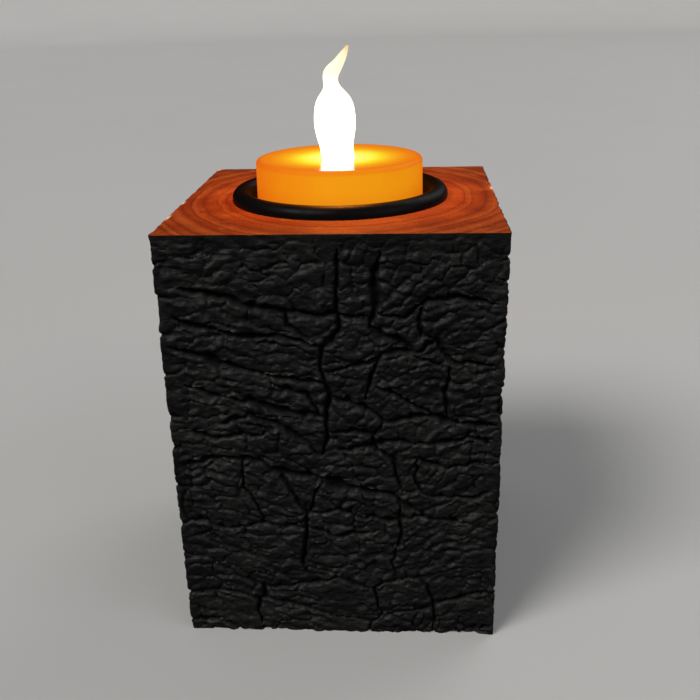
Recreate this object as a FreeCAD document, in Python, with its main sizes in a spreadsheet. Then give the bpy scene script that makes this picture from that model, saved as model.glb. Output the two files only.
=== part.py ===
"""Tealight holder: a charred wood block, a black cup let into its top and a battery tealight.

Millimetres, +Z up, +X to the right of the front. The origin is the centre of the block's underside.
The tealight's pieces are drawn from the underside of its case and then raised to the cup's floor.
"""
import FreeCAD, Part
import math
import os
import Sketcher

SIZES = {
    # The block, and the round seat bored in its top.
    "block_width": 70.0,
    "block_height": 94.0,
    "block_edge_radius": 1.2,
    "seat_radius": 21.15,
    "seat_depth": 9.0,
    # The cup: a drawn metal pot whose rim is rolled outward and stands on the wood.
    "cup_outer_radius": 21.0,
    "cup_wall": 0.8,
    "cup_floor_underside": 85.6,
    "rim_outer_radius": 24.3,
    "rim_rise": 2.6,
    # The tealight's case, a translucent moulding whose top is dished by a hair's breadth.
    "candle_foot": 86.4,
    "shell_radius": 18.75,
    "shell_draft": 0.15,
    "shell_height": 16.4,
    "shell_wall": 1.0,
    "shell_ceiling": 15.2,
    "shell_rim_rounding": 0.9,
    "dish_radius": 500.0,
    "dish_depth": 0.3,
    "flame_hole_radius": 3.85,
    "screw_circle": 15.2,
    "screw_bearing": 60.0,
    "post_radius": 1.9,
    "post_bottom": 3.0,
    "web_thickness": 1.0,
    "pilot_radius": 0.9,
    "pilot_spare": 0.6,
    "ledge_reach": 0.9,
    "ledge_bottom": 0.1,
    "ledge_top": 0.5,
    "ledge_width": 5.0,
    # How far a piece of a moulding runs into the next one, so that the two are one solid.
    "join": 0.2,
    # The flame, a hollow moulding pushed up through the case from inside.
    "flame_flange_radius": 5.2,
    "flame_flange_bottom": 14.1,
    "flame_flange_height": 1.0,
    "flame_neck_radius": 3.64,
    "flame_height": 24.27,
    "flame_belly_radius": 4.57,
    "flame_sway": 1.46,
    "flame_bore_radius": 2.6,
    "flame_bore_top": 23.3,
    # The lamp, a 5 mm LED standing on the base's pedestal.
    "lamp_radius": 2.5,
    "lamp_flange_radius": 2.9,
    "lamp_bottom": 13.1,
    "lamp_flange_height": 1.0,
    "lamp_height": 8.6,
    "lead_radius": 0.25,
    "lead_pitch": 2.54,
    "lead_run_height": 8.25,
    "lead_terminal": 1.4,
    "lead_clearance": 0.1,
    "lead_groove": 0.8,
    # The base plate with its battery box.
    "base_radius": 17.6,
    "base_bottom": 0.6,
    "base_top": 1.8,
    "battery_centre": -4.2,
    "box_radius": 13.2,
    "box_top": 7.7,
    "box_ceiling": 6.9,
    "cell_bore_radius": 10.3,
    "cell_bottom": 3.2,
    "cell_clearance": 0.05,
    "lug_room_radius": 12.2,
    "door_opening_radius": 11.0,
    "pedestal_width": 5.0,
    "pedestal_depth": 5.8,
    "pedestal_top": 13.0,
    "window_bottom": 3.6,
    "window_inside": 1.2,
    "window_outside": 3.4,
    "rail_top": 4.0,
    "rail_length": 10.0,
    "rail_width": 0.8,
    "sliding_clearance": 0.2,
    # The battery door, turned by a coin through door_turn degrees to free its three lugs.
    "door_radius": 10.9,
    "door_turn": 40.0,
    "lug_reach": 11.75,
    "lug_width": 4.4,
    "lug_bottom": 1.9,
    "lug_top": 2.9,
    "lug_root": 0.8,
    "notch_side_clearance": 0.25,
    "notch_end_clearance": 0.35,
    "door_ring_top": 3.1,
    "door_ring_inner": 9.0,
    "coin_slot_length": 14.0,
    "coin_slot_width": 1.6,
    "coin_slot_depth": 0.8,
    # The coin cell.
    "cell_radius": 10.0,
    "cell_height": 3.2,
    "cell_sheet": 0.25,
    "cell_crimp": 0.3,
    "cell_cap_radius": 8.9,
    "cell_cap_foot": 1.4,
    "cell_core_radius": 7.8,
    "cell_pellet_top": 2.1,
    "cell_lithium_bottom": 2.15,
    # The switch and the contact strips.
    "switch_centre": 13.0,
    "switch_travel": 2.6,
    "slot_width": 2.6,
    "slot_length": 5.6,
    "slider_width": 4.8,
    "slider_length": 6.8,
    "slider_bottom": 1.9,
    "slider_top": 3.4,
    "knob_width": 2.4,
    "knob_length": 2.8,
    "knob_bottom": 0.3,
    "groove_depth": 0.25,
    "groove_width": 0.3,
    "groove_pitch": 0.8,
    "strip_sheet": 0.2,
    "strip_front": -3.6,
    "strip_back": -0.6,
    "pad_height": 4.0,
    "bridge_width": 1.6,
    # The two screws that close the tealight.
    "screw_radius": 0.85,
    "screw_head_radius": 1.5,
    "screw_head_bottom": 0.8,
    "screw_slot_depth": 0.3,
    "screw_slot_width": 0.5,
    "screw_top": 6.8,
    "counterbore_radius": 1.7,
    "screw_clearance_radius": 0.95,
    "screw_pad_radius": 2.2,
}

# The flame's round sections: share of its height, sway to the right and radius, both in mm.
FLAME_SECTIONS = [
    (0.0165, -0.15, 3.64),
    (0.066, -0.40, 3.62),
    (0.138, -0.57, 3.76),
    (0.235, -0.69, 4.25),
    (0.343, -0.74, 4.57),
    (0.440, -0.76, 4.35),
    (0.505, -0.78, 3.95),
    (0.569, -0.83, 3.12),
    (0.623, -1.05, 2.14),
    (0.677, -1.42, 1.64),
    (0.731, -1.38, 1.66),
    (0.785, -0.92, 1.84),
    (0.839, -0.12, 1.70),
    (0.893, 0.88, 1.22),
    (0.947, 1.70, 0.82),
    (0.985, 2.22, 0.46),
]


class Size:
    """A length that knows its value and the sheet expression that gives it."""

    def __init__(self, value, text):
        self.value = float(value)
        self.text = text

    def __add__(self, other):
        other = as_size(other)
        return Size(self.value + other.value, "(%s + %s)" % (self.text, other.text))

    def __sub__(self, other):
        other = as_size(other)
        return Size(self.value - other.value, "(%s - %s)" % (self.text, other.text))

    def __mul__(self, other):
        other = as_size(other)
        return Size(self.value * other.value, "(%s * %s)" % (self.text, other.text))

    def __truediv__(self, other):
        other = as_size(other)
        return Size(self.value / other.value, "(%s / %s)" % (self.text, other.text))

    def __neg__(self):
        return Size(-self.value, "(0 - %s)" % self.text)

    __radd__ = __add__
    __rmul__ = __mul__

    def __rsub__(self, other):
        return as_size(other) - self


def as_size(number):
    """A Size for a plain number; a Size is passed through."""
    if isinstance(number, Size):
        return number
    return Size(number, "%g" % number)


class Sheet:
    """The spreadsheet of driving dimensions; each one is read as an attribute."""

    def __init__(self, doc, sizes):
        self.cells = doc.addObject("Spreadsheet::Sheet", "dims")
        self.sizes = sizes
        for row, (name, value) in enumerate(sizes.items(), start=1):
            self.cells.set("A%d" % row, name)
            self.cells.set("B%d" % row, "%g" % value)
            self.cells.setAlias("B%d" % row, name)
        doc.recompute()

    def __getattr__(self, name):
        return Size(self.sizes[name], "dims.%s" % name)


class Piece:
    """One sub-part: a PartDesign body whose sketches are bound to the sheet."""

    def __init__(self, doc, label, raised=None, shifted=0):
        self.doc = doc
        self.body = doc.addObject("PartDesign::Body", label)
        self.body.Label = label
        self.shifted = shifted
        if raised is not None:
            self.body.setExpression("Placement.Base.z", raised.text)

    def sketch(self, role, offset=0, turn=0):
        """A sketch on an origin plane, moved along its normal by offset and along X by shifted."""
        plane = next(item for item in self.body.Origin.OriginFeatures if item.Role == role)
        sketch = self.body.newObject("Sketcher::SketchObject", "outline")
        sketch.AttachmentSupport = [(plane, "")]
        sketch.MapMode = "FlatFace"
        turned = FreeCAD.Rotation(FreeCAD.Vector(0, 0, 1), as_size(turn).value)
        sketch.AttachmentOffset = FreeCAD.Placement(FreeCAD.Vector(0, 0, 0), turned)
        sketch.setExpression("AttachmentOffset.Base.x", as_size(self.shifted).text)
        sketch.setExpression("AttachmentOffset.Base.z", as_size(offset).text)
        return sketch

    def feature(self, kind, sketch, **settings):
        """A feature made from a sketch; Size settings are bound and others are set."""
        feature = self.body.newObject("PartDesign::" + kind, kind.lower())
        feature.Profile = sketch
        for name, value in settings.items():
            if isinstance(value, Size):
                feature.setExpression(name, value.text)
            else:
                setattr(feature, name, value)
        sketch.Visibility = False
        self.doc.recompute()
        self.body.Tip = feature
        return feature

    def pad(self, sketch, length):
        """Add the sketch's area from its plane along its normal."""
        return self.feature("Pad", sketch, Length=as_size(length))

    def cut_up(self, sketch, length):
        """Remove the sketch's area from its plane upward, and check that something was removed."""
        before = self.body.Shape.Volume
        pocket = self.feature("Pocket", sketch, Length=as_size(length), Reversed=True)
        if self.body.Shape.Volume >= before - 1e-6:
            raise RuntimeError("%s: a pocket removes nothing" % self.body.Label)
        return pocket

    def revolve(self, corners):
        """A turned solid from an outline of (radius, height) corners."""
        sketch = self.sketch("XZ_Plane")
        polygon(sketch, corners)
        return self.feature("Revolution", sketch, ReferenceAxis=(sketch, ["V_Axis"]))

    def bar(self, corners, front, back):
        """A solid of constant section, from its (x, z) outline, between two y planes."""
        sketch = self.sketch("XZ_Plane", offset=-back)
        polygon(sketch, corners)
        return self.pad(sketch, back - front)

    def scoop(self, radius, height):
        """Remove a ball whose centre is on the axis at a height."""
        ball = self.body.newObject("PartDesign::SubtractiveSphere", "scoop")
        ball.setExpression("Radius", radius.text)
        ball.setExpression("Placement.Base.z", height.text)
        self.body.Tip = ball
        self.doc.recompute()
        return ball

    def repeat(self, feature, count):
        """Copy a feature around its own sketch's normal axis."""
        pattern = self.body.newObject("PartDesign::PolarPattern", "pattern")
        pattern.Originals = [feature]
        pattern.Axis = (feature.Profile[0], ["N_Axis"])
        pattern.Angle = 360
        pattern.Occurrences = count
        self.body.Tip = pattern
        self.doc.recompute()
        return pattern

    def round_edges(self, radius, wanted):
        """Fillet every edge of the solid that wanted(edge) picks."""
        base = self.body.Tip
        names = []
        for number, edge in enumerate(base.Shape.Edges, start=1):
            if wanted(edge):
                names.append("Edge%d" % number)
        if not names:
            raise RuntimeError("%s: no edge to round" % self.body.Label)
        fillet = self.body.newObject("PartDesign::Fillet", "fillet")
        fillet.Base = (base, names)
        fillet.setExpression("Radius", as_size(radius).text)
        self.body.Tip = fillet
        self.doc.recompute()
        return fillet


def bind(sketch, kind, geometry, point, size):
    """A dimension from the sketch's origin to a point, bound to the sheet."""
    constraint = Sketcher.Constraint(kind, -1, 1, geometry, point, size.value)
    index = sketch.addConstraint(constraint)
    sketch.setExpression("Constraints[%d]" % index, size.text)


def polygon(sketch, corners):
    """A closed outline of straight lines, every corner dimensioned from the origin."""
    corners = [(as_size(across), as_size(up)) for across, up in corners]
    places = [FreeCAD.Vector(across.value, up.value, 0) for across, up in corners]
    lines = []
    for start, end in zip(places, places[1:] + places[:1]):
        lines.append(sketch.addGeometry(Part.LineSegment(start, end), False))
    for line, following in zip(lines, lines[1:] + lines[:1]):
        sketch.addConstraint(Sketcher.Constraint("Coincident", line, 2, following, 1))
    for line, (across, up) in zip(lines, corners):
        bind(sketch, "DistanceX", line, 1, across)
        bind(sketch, "DistanceY", line, 1, up)


def rectangle(sketch, left, right, front, back):
    """A rectangle between two x and two y positions."""
    polygon(sketch, [(left, front), (right, front), (right, back), (left, back)])


def circle(sketch, radius, across=0, up=0):
    """A circle with its radius and centre bound to the sheet."""
    radius = as_size(radius)
    centre = FreeCAD.Vector(as_size(across).value, as_size(up).value, 0)
    ring = Part.Circle(centre, FreeCAD.Vector(0, 0, 1), radius.value)
    geometry = sketch.addGeometry(ring, False)
    bind(sketch, "DistanceX", geometry, 3, as_size(across))
    bind(sketch, "DistanceY", geometry, 3, as_size(up))
    index = sketch.addConstraint(Sketcher.Constraint("Radius", geometry, radius.value))
    sketch.setExpression("Constraints[%d]" % index, radius.text)


def ring_edge(radius, height):
    """A test for the circular edge of one radius at one height."""
    radius = as_size(radius).value
    height = as_size(height).value

    def wanted(edge):
        curve = edge.Curve
        if not isinstance(curve, Part.Circle):
            return False
        near_radius = abs(curve.Radius - radius) < 1e-4
        near_height = abs(edge.CenterOfMass.z - height) < 1e-4
        return near_radius and near_height

    return wanted


def upright_edge(edge):
    """Whether an edge is a straight vertical line."""
    line = isinstance(edge.Curve, Part.Line)
    return line and abs(edge.tangentAt(edge.FirstParameter).z) > 0.999


def screw_places(d):
    """The x and y of the two closing screws."""
    bearing = math.radians(d.screw_bearing.value)
    across = d.screw_circle * round(math.cos(bearing), 6)
    along = d.screw_circle * round(math.sin(bearing), 6)
    return [(across, along), (across, -along)]


def wood_block(doc, d):
    """The square block with softened upright edges and the round seat in its top."""
    piece = Piece(doc, "wood_block")
    half = d.block_width / 2
    square = piece.sketch("XY_Plane")
    rectangle(square, -half, half, -half, half)
    piece.pad(square, d.block_height)
    piece.round_edges(d.block_edge_radius, upright_edge)
    seat = piece.sketch("XY_Plane", offset=d.block_height - d.seat_depth)
    circle(seat, d.seat_radius)
    piece.cut_up(seat, d.seat_depth)
    return piece


def candle_cup(doc, d):
    """The pot with its rim rolled over and down to the wood."""
    piece = Piece(doc, "candle_cup")
    inner = d.cup_outer_radius - d.cup_wall
    floor = d.cup_floor_underside + d.cup_wall
    crest = d.block_height + d.rim_rise
    curl = d.rim_outer_radius - d.cup_wall
    piece.revolve([
        (0, d.cup_floor_underside),
        (d.cup_outer_radius, d.cup_floor_underside),
        (d.cup_outer_radius, crest - d.cup_wall),
        (curl, crest - d.cup_wall),
        (curl, d.block_height),
        (d.rim_outer_radius, d.block_height),
        (d.rim_outer_radius, crest),
        (inner, crest),
        (inner, floor),
        (0, floor),
    ])
    crown = (d.rim_outer_radius - inner) / 2
    piece.round_edges(crown - 0.02, ring_edge(inner, crest))
    piece.round_edges(crown - 0.02, ring_edge(d.rim_outer_radius, crest))
    hollow = crown - d.cup_wall
    piece.round_edges(hollow - 0.02, ring_edge(d.cup_outer_radius, crest - d.cup_wall))
    piece.round_edges(hollow - 0.02, ring_edge(curl, crest - d.cup_wall))
    return piece


def candle_shell(doc, d):
    """The translucent case: drafted wall, barely dished top, two screw posts and a ledge."""
    piece = Piece(doc, "candle_shell", raised=d.candle_foot)
    top = d.shell_radius - d.shell_draft
    underside = d.shell_ceiling
    piece.revolve([
        (d.shell_radius - d.shell_wall, 0),
        (d.shell_radius, 0),
        (top, d.shell_height),
        (d.flame_hole_radius, d.shell_height),
        (d.flame_hole_radius, underside),
        (top - d.shell_wall, underside),
    ])
    piece.scoop(d.dish_radius, d.shell_height - d.dish_depth + d.dish_radius)
    piece.round_edges(d.shell_rim_rounding, ring_edge(top, d.shell_height))
    posts = piece.sketch("XY_Plane", offset=d.post_bottom)
    for across, along in screw_places(d):
        circle(posts, d.post_radius, across, along)
    piece.pad(posts, underside - d.post_bottom + d.join)
    across, along = screw_places(d)[0]
    half = d.web_thickness / 2
    reach = (d.shell_radius - d.shell_wall / 2 - d.join) / d.screw_circle
    for side in (1, -1):
        web = piece.sketch("XY_Plane", offset=d.post_bottom)
        polygon(web, [
            (across - half, along * side),
            (across + half, along * side),
            (across * reach + half, along * reach * side),
            (across * reach - half, along * reach * side),
        ])
        piece.pad(web, underside - d.post_bottom)
    pilots = piece.sketch("XY_Plane", offset=d.post_bottom)
    for across, along in screw_places(d):
        circle(pilots, d.pilot_radius, across, along)
    piece.cut_up(pilots, d.screw_top - d.post_bottom + d.pilot_spare)
    ledge = piece.sketch("XY_Plane", offset=d.ledge_bottom)
    outside = d.shell_radius - d.shell_wall / 2
    half = d.ledge_width / 2
    rectangle(ledge, -outside, -(d.base_radius - d.ledge_reach), -half, half)
    piece.pad(ledge, d.ledge_top - d.ledge_bottom)
    return piece


def flame_tip(doc, d):
    """The swaying flame: flange, neck and a skinned body, bored for the lamp."""
    piece = Piece(doc, "flame_tip", raised=d.candle_foot)
    flange = piece.sketch("XY_Plane", offset=d.flame_flange_bottom)
    circle(flange, d.flame_flange_radius)
    piece.pad(flange, d.flame_flange_height)
    foot = d.shell_height - d.dish_depth
    neck = piece.sketch("XY_Plane", offset=d.flame_flange_bottom + d.flame_flange_height)
    circle(neck, d.flame_neck_radius)
    neck_top = foot + d.flame_height * FLAME_SECTIONS[0][0]
    piece.pad(neck, neck_top - d.flame_flange_bottom - d.flame_flange_height)
    sections = []
    for share, sway, radius in FLAME_SECTIONS:
        section = piece.sketch("XY_Plane", offset=foot + d.flame_height * share)
        belly = d.flame_belly_radius * round(radius / d.flame_belly_radius.value, 4)
        bend = d.flame_sway * round(sway / d.flame_sway.value, 4)
        circle(section, belly, bend)
        sections.append(section)
    piece.feature("AdditiveLoft", sections[0], Sections=sections[1:])
    bore = piece.sketch("XY_Plane", offset=d.flame_flange_bottom)
    circle(bore, d.flame_bore_radius)
    piece.cut_up(bore, d.flame_bore_top - d.flame_flange_bottom)
    return piece


def led_lamp(doc, d):
    """The round LED with its flange and domed top."""
    piece = Piece(doc, "led_lamp", raised=d.candle_foot)
    step = d.lamp_bottom + d.lamp_flange_height
    top = d.lamp_bottom + d.lamp_height
    piece.revolve([
        (0, d.lamp_bottom),
        (d.lamp_flange_radius, d.lamp_bottom),
        (d.lamp_flange_radius, step),
        (d.lamp_radius, step),
        (d.lamp_radius, top),
        (0, top),
    ])
    piece.round_edges(d.lamp_radius - 0.05, ring_edge(d.lamp_radius, top))
    return piece


def lead(doc, d, label, corners, along):
    """A round wire through (x, z) corners in the plane y = along, starting under the lamp."""
    piece = Piece(doc, label, raised=d.candle_foot)
    start_across, start_up = corners[0]
    section = piece.sketch("XY_Plane", offset=start_up)
    circle(section, d.lead_radius, start_across, along)
    if len(corners) == 2:
        section.setExpression("AttachmentOffset.Base.z", as_size(corners[1][1]).text)
        piece.pad(section, start_up - corners[1][1])
        return piece
    route = piece.sketch("XZ_Plane", offset=-along)
    places = [(as_size(across), as_size(up)) for across, up in corners]
    lines = []
    for start, end in zip(places, places[1:]):
        first = FreeCAD.Vector(start[0].value, start[1].value, 0)
        last = FreeCAD.Vector(end[0].value, end[1].value, 0)
        lines.append(route.addGeometry(Part.LineSegment(first, last), False))
    for line, following in zip(lines, lines[1:]):
        route.addConstraint(Sketcher.Constraint("Coincident", line, 2, following, 1))
    for line, (across, up) in zip(lines, places):
        bind(route, "DistanceX", line, 1, across)
        bind(route, "DistanceY", line, 1, up)
    bind(route, "DistanceX", lines[-1], 2, places[-1][0])
    bind(route, "DistanceY", lines[-1], 2, places[-1][1])
    piece.feature("AdditivePipe", section, Spine=(route, []), Transition="Round corner")
    return piece


def lamp_leads(doc, d):
    """The bent anode lead to the switch and the straight cathode lead to the cell's cap."""
    half = d.lead_pitch / 2
    terminal = d.switch_centre + d.lead_terminal
    anode_route = [
        (0, d.lamp_bottom),
        (0, d.lead_run_height),
        (terminal, d.lead_run_height),
        (terminal, d.pad_height + d.strip_sheet),
    ]
    anode = lead(doc, d, "led_anode_lead", anode_route, -half)
    cathode_route = [(0, d.lamp_bottom), (0, d.box_ceiling)]
    cathode = lead(doc, d, "led_cathode_lead", cathode_route, half)
    return [anode, cathode]


def candle_base(doc, d):
    """The base plate with battery box, lamp pedestal, switch rails and screw pads."""
    piece = Piece(doc, "candle_base", raised=d.candle_foot)
    plate_height = d.base_top - d.base_bottom
    plate = piece.sketch("XY_Plane", offset=d.base_bottom)
    circle(plate, d.base_radius)
    piece.pad(plate, plate_height)
    pads = piece.sketch("XY_Plane", offset=d.base_top)
    for across, along in screw_places(d):
        circle(pads, d.screw_pad_radius, across, along)
    piece.pad(pads, d.post_bottom - d.base_top)
    pedestal = piece.sketch("XY_Plane", offset=d.box_ceiling)
    half_width = d.pedestal_width / 2
    half_depth = d.pedestal_depth / 2
    battery_box(piece, d, plate_height)
    rectangle(pedestal, -half_width, half_width, -half_depth, half_depth)
    piece.pad(pedestal, d.pedestal_top - d.box_ceiling)
    base_rails(piece, d)
    base_openings(piece, d, plate_height)
    return piece


def battery_box(piece, d, plate_height):
    """The round box for the cell, its lug room and the door opening with three notches."""
    piece.shifted = d.battery_centre
    box = piece.sketch("XY_Plane", offset=d.base_top)
    circle(box, d.box_radius)
    piece.pad(box, d.box_top - d.base_top)
    steps = [
        (d.cell_bore_radius, d.base_bottom, d.box_ceiling),
        (d.lug_room_radius, d.base_top, d.cell_bottom),
        (d.door_opening_radius, d.base_bottom, d.base_top),
    ]
    for radius, low, high in steps:
        bore = piece.sketch("XY_Plane", offset=low)
        circle(bore, radius)
        piece.cut_up(bore, high - low)
    notch = piece.sketch("XY_Plane", offset=d.base_bottom, turn=d.door_turn)
    half = d.lug_width / 2 + d.notch_side_clearance
    inner = d.door_opening_radius - d.lug_root
    rectangle(notch, inner, d.lug_reach + d.notch_end_clearance, -half, half)
    piece.repeat(piece.cut_up(notch, plate_height), 3)
    piece.shifted = 0


def base_rails(piece, d):
    """Two rails that guide the slider; the outer one carries the lamp's terminal."""
    half = d.rail_length / 2
    gap = d.slider_width / 2 + d.sliding_clearance
    for side in (1, -1):
        rail = piece.sketch("XY_Plane", offset=d.base_top)
        inner = d.switch_centre + gap * side
        outer = d.switch_centre + (gap + d.rail_width) * side
        rectangle(rail, inner, outer, -half, half)
        piece.pad(rail, d.rail_top - d.base_top)


def base_openings(piece, d, plate_height):
    """The screw holes, the switch slot, the lead holes and the window for the positive strip."""
    counterbores = piece.sketch("XY_Plane", offset=d.base_bottom)
    clearances = piece.sketch("XY_Plane", offset=d.base_bottom)
    for across, along in screw_places(d):
        circle(counterbores, d.counterbore_radius, across, along)
        circle(clearances, d.screw_clearance_radius, across, along)
    piece.cut_up(counterbores, plate_height)
    piece.cut_up(clearances, d.post_bottom - d.base_bottom)
    slot = piece.sketch("XY_Plane", offset=d.base_bottom)
    half_width = d.slot_width / 2
    half_length = d.slot_length / 2
    left = d.switch_centre - half_width
    right = d.switch_centre + half_width
    rectangle(slot, left, right, -half_length, half_length)
    piece.cut_up(slot, plate_height)
    cathode = piece.sketch("XY_Plane", offset=d.box_ceiling)
    circle(cathode, d.lead_radius + d.lead_clearance, 0, d.lead_pitch / 2)
    piece.cut_up(cathode, d.pedestal_top - d.box_ceiling)
    anode = piece.sketch("XY_Plane", offset=d.box_top)
    middle = -(d.lead_pitch / 2)
    half = d.lead_groove / 2
    reach = d.pedestal_width / 2 + half
    rectangle(anode, -half, reach, middle - half, middle + half)
    piece.cut_up(anode, d.pedestal_top - d.box_top)
    window = piece.sketch("XY_Plane", offset=d.window_bottom)
    wall = d.battery_centre + d.cell_bore_radius
    front = d.strip_front - d.sliding_clearance
    back = d.strip_back + d.sliding_clearance
    rectangle(window, wall - d.window_inside, wall + d.window_outside, front, back)
    piece.cut_up(window, d.box_ceiling - d.window_bottom)


def battery_door(doc, d):
    """The round door: plate, raised ring, three lugs and a coin slot below."""
    piece = Piece(doc, "battery_door", raised=d.candle_foot, shifted=d.battery_centre)
    plate = piece.sketch("XY_Plane", offset=d.base_bottom)
    circle(plate, d.door_radius)
    piece.pad(plate, d.base_top - d.base_bottom)
    ring = piece.sketch("XY_Plane", offset=d.base_top)
    circle(ring, d.door_radius)
    circle(ring, d.door_ring_inner)
    piece.pad(ring, d.door_ring_top - d.base_top)
    lug = piece.sketch("XY_Plane", offset=d.lug_bottom)
    half = d.lug_width / 2
    rectangle(lug, d.door_radius - d.lug_root, d.lug_reach, -half, half)
    piece.repeat(piece.pad(lug, d.lug_top - d.lug_bottom), 3)
    slot = piece.sketch("XY_Plane", offset=d.base_bottom)
    half_length = d.coin_slot_length / 2
    half_width = d.coin_slot_width / 2
    rectangle(slot, -half_length, half_length, -half_width, half_width)
    piece.cut_up(slot, d.coin_slot_depth)
    return piece


def coin_cell(doc, d):
    """The cell's can, pellet, lithium disc, seal and cap, all turned about the cell's axis."""
    bottom = d.cell_bottom
    top = d.cell_bottom + d.cell_height
    sheet = d.cell_sheet
    inner = d.cell_radius - sheet
    crimp = top - d.cell_crimp
    cap = d.cell_cap_radius
    chamfer = d.cell_crimp
    cap_foot = bottom + d.cell_cap_foot
    seal_top = top - d.cell_crimp + sheet / 2
    outlines = {
        "cell_can": [
            (0, bottom), (d.cell_radius, bottom), (d.cell_radius, crimp),
            (inner, crimp), (inner, bottom + sheet), (0, bottom + sheet),
        ],
        "cell_pellet": [
            (0, bottom + sheet), (d.cell_core_radius, bottom + sheet),
            (d.cell_core_radius, bottom + d.cell_pellet_top), (0, bottom + d.cell_pellet_top),
        ],
        "cell_lithium": [
            (0, bottom + d.cell_lithium_bottom),
            (d.cell_core_radius, bottom + d.cell_lithium_bottom),
            (d.cell_core_radius, top - sheet), (0, top - sheet),
        ],
        "cell_seal": [
            (cap, bottom + sheet), (inner, bottom + sheet),
            (inner, seal_top), (cap, seal_top),
        ],
        "cell_cap": [
            (0, top), (cap - chamfer, top), (cap, top - chamfer), (cap, cap_foot),
            (cap - sheet, cap_foot), (cap - sheet, top - chamfer - sheet / 2),
            (cap - chamfer - sheet / 2, top - sheet), (0, top - sheet),
        ],
    }
    pieces = []
    for label, corners in outlines.items():
        piece = Piece(doc, label, raised=d.candle_foot, shifted=d.battery_centre)
        piece.revolve(corners)
        pieces.append(piece)
    return pieces


def contact_strips(doc, d):
    """The positive strip, the negative strip, the lamp's terminal and the switch's bridge."""
    sheet = d.strip_sheet
    pad = d.pad_height
    side = d.battery_centre + d.cell_radius + d.cell_clearance
    run = d.box_ceiling - 0.5
    middle = d.switch_centre
    positive = Piece(doc, "positive_contact", raised=d.candle_foot)
    positive.bar([
        (side, d.window_bottom), (side, run), (middle - 3.3, run),
        (middle - 2.25, pad + sheet), (middle - 0.4, pad + sheet), (middle - 0.4, pad),
        (middle - 2.4, pad), (middle - 3.45, run - sheet),
        (side + sheet, run - sheet), (side + sheet, d.window_bottom),
    ], d.strip_front, d.strip_back)
    high = d.box_ceiling - 0.01
    low = d.cell_bottom + d.cell_height + 0.02
    centre = d.battery_centre
    negative = Piece(doc, "negative_contact", raised=d.candle_foot)
    negative.bar([
        (centre + 3.8, high), (centre + 3.8, high - sheet), (centre - 0.5, high - sheet),
        (centre - 2.2, low), (centre - 4.4, low), (centre - 5.4, high - sheet),
        (centre - 5.4, high), (centre - 4.4, low + sheet), (centre - 2.2, low + sheet),
        (centre - 0.4, high),
    ], as_size(0), as_size(3))
    terminal = Piece(doc, "lamp_terminal", raised=d.candle_foot)
    end = middle + 3.3
    terminal.bar([
        (middle + 0.9, pad), (end, pad), (end, pad + 1.2), (end - sheet, pad + 1.2),
        (end - sheet, pad + sheet), (middle + 0.9, pad + sheet),
    ], d.strip_front, d.strip_back)
    bridge = Piece(doc, "switch_contact", raised=d.candle_foot)
    bed = d.slider_top + 0.01
    crown = pad - 0.05
    rest = -(d.switch_travel / 2)
    bridge.bar([
        (middle - 1.8, crown), (middle - 1.8, crown - sheet), (middle - 0.85, crown - sheet),
        (middle - 0.25, bed), (middle + 0.65, bed), (middle + 1.25, crown - sheet),
        (middle + 2.2, crown - sheet), (middle + 2.2, crown), (middle + 1.2, crown),
        (middle + 0.6, bed + sheet), (middle - 0.2, bed + sheet), (middle - 0.8, crown),
    ], rest - d.bridge_width / 2, rest + d.bridge_width / 2)
    return [positive, negative, terminal, bridge]


def switch_slider(doc, d):
    """The slider plate above the base and its grooved knob in the slot, drawn switched on."""
    piece = Piece(doc, "switch_slider", raised=d.candle_foot)
    rest = -(d.switch_travel / 2)
    middle = d.switch_centre
    blocks = [
        (d.slider_width, d.slider_length, d.slider_bottom, d.slider_top),
        (d.knob_width, d.knob_length, d.knob_bottom, d.slider_bottom),
    ]
    for width, length, low, high in blocks:
        block = piece.sketch("XY_Plane", offset=low)
        left = middle - width / 2
        right = middle + width / 2
        rectangle(block, left, right, rest - length / 2, rest + length / 2)
        piece.pad(block, high - low)
    for number in (-1, 0, 1):
        groove = piece.sketch("XY_Plane", offset=d.knob_bottom)
        along = rest + d.groove_pitch * number
        half_width = d.knob_width / 2 + d.join
        half_groove = d.groove_width / 2
        left = middle - half_width
        right = middle + half_width
        rectangle(groove, left, right, along - half_groove, along + half_groove)
        piece.cut_up(groove, d.groove_depth)
    return piece


def base_screws(doc, d):
    """Both closing screws as one group of two solids."""
    screws = []
    for number, (across, along) in enumerate(screw_places(d), start=1):
        head = doc.addObject("Part::Cylinder", "screw_head%d" % number)
        head.setExpression("Radius", d.screw_head_radius.text)
        head.setExpression("Height", (d.base_top - d.screw_head_bottom).text)
        head.setExpression("Placement.Base.z", d.screw_head_bottom.text)
        shank = doc.addObject("Part::Cylinder", "screw_shank%d" % number)
        shank.setExpression("Radius", d.screw_radius.text)
        shank.setExpression("Height", (d.screw_top - d.screw_head_bottom).text)
        shank.setExpression("Placement.Base.z", d.screw_head_bottom.text)
        slot = doc.addObject("Part::Box", "screw_slot%d" % number)
        slot.setExpression("Length", (d.screw_head_radius * 2 + d.join * 2).text)
        slot.setExpression("Width", d.screw_slot_width.text)
        slot.setExpression("Height", (d.screw_slot_depth + d.join).text)
        slot.setExpression("Placement.Base.x", (across - d.screw_head_radius - d.join).text)
        slot.setExpression("Placement.Base.y", (along - d.screw_slot_width / 2).text)
        slot.setExpression("Placement.Base.z", (d.screw_head_bottom - d.join).text)
        for item in (head, shank):
            item.setExpression("Placement.Base.x", across.text)
            item.setExpression("Placement.Base.y", along.text)
        joined = doc.addObject("Part::Fuse", "screw_blank%d" % number)
        joined.Base = head
        joined.Tool = shank
        screw = doc.addObject("Part::Cut", "screw%d" % number)
        screw.Base = joined
        screw.Tool = slot
        screws.append(screw)
    group = doc.addObject("Part::Compound", "base_screws")
    group.Label = "base_screws"
    group.Links = screws
    group.setExpression("Placement.Base.z", d.candle_foot.text)
    return group


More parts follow.
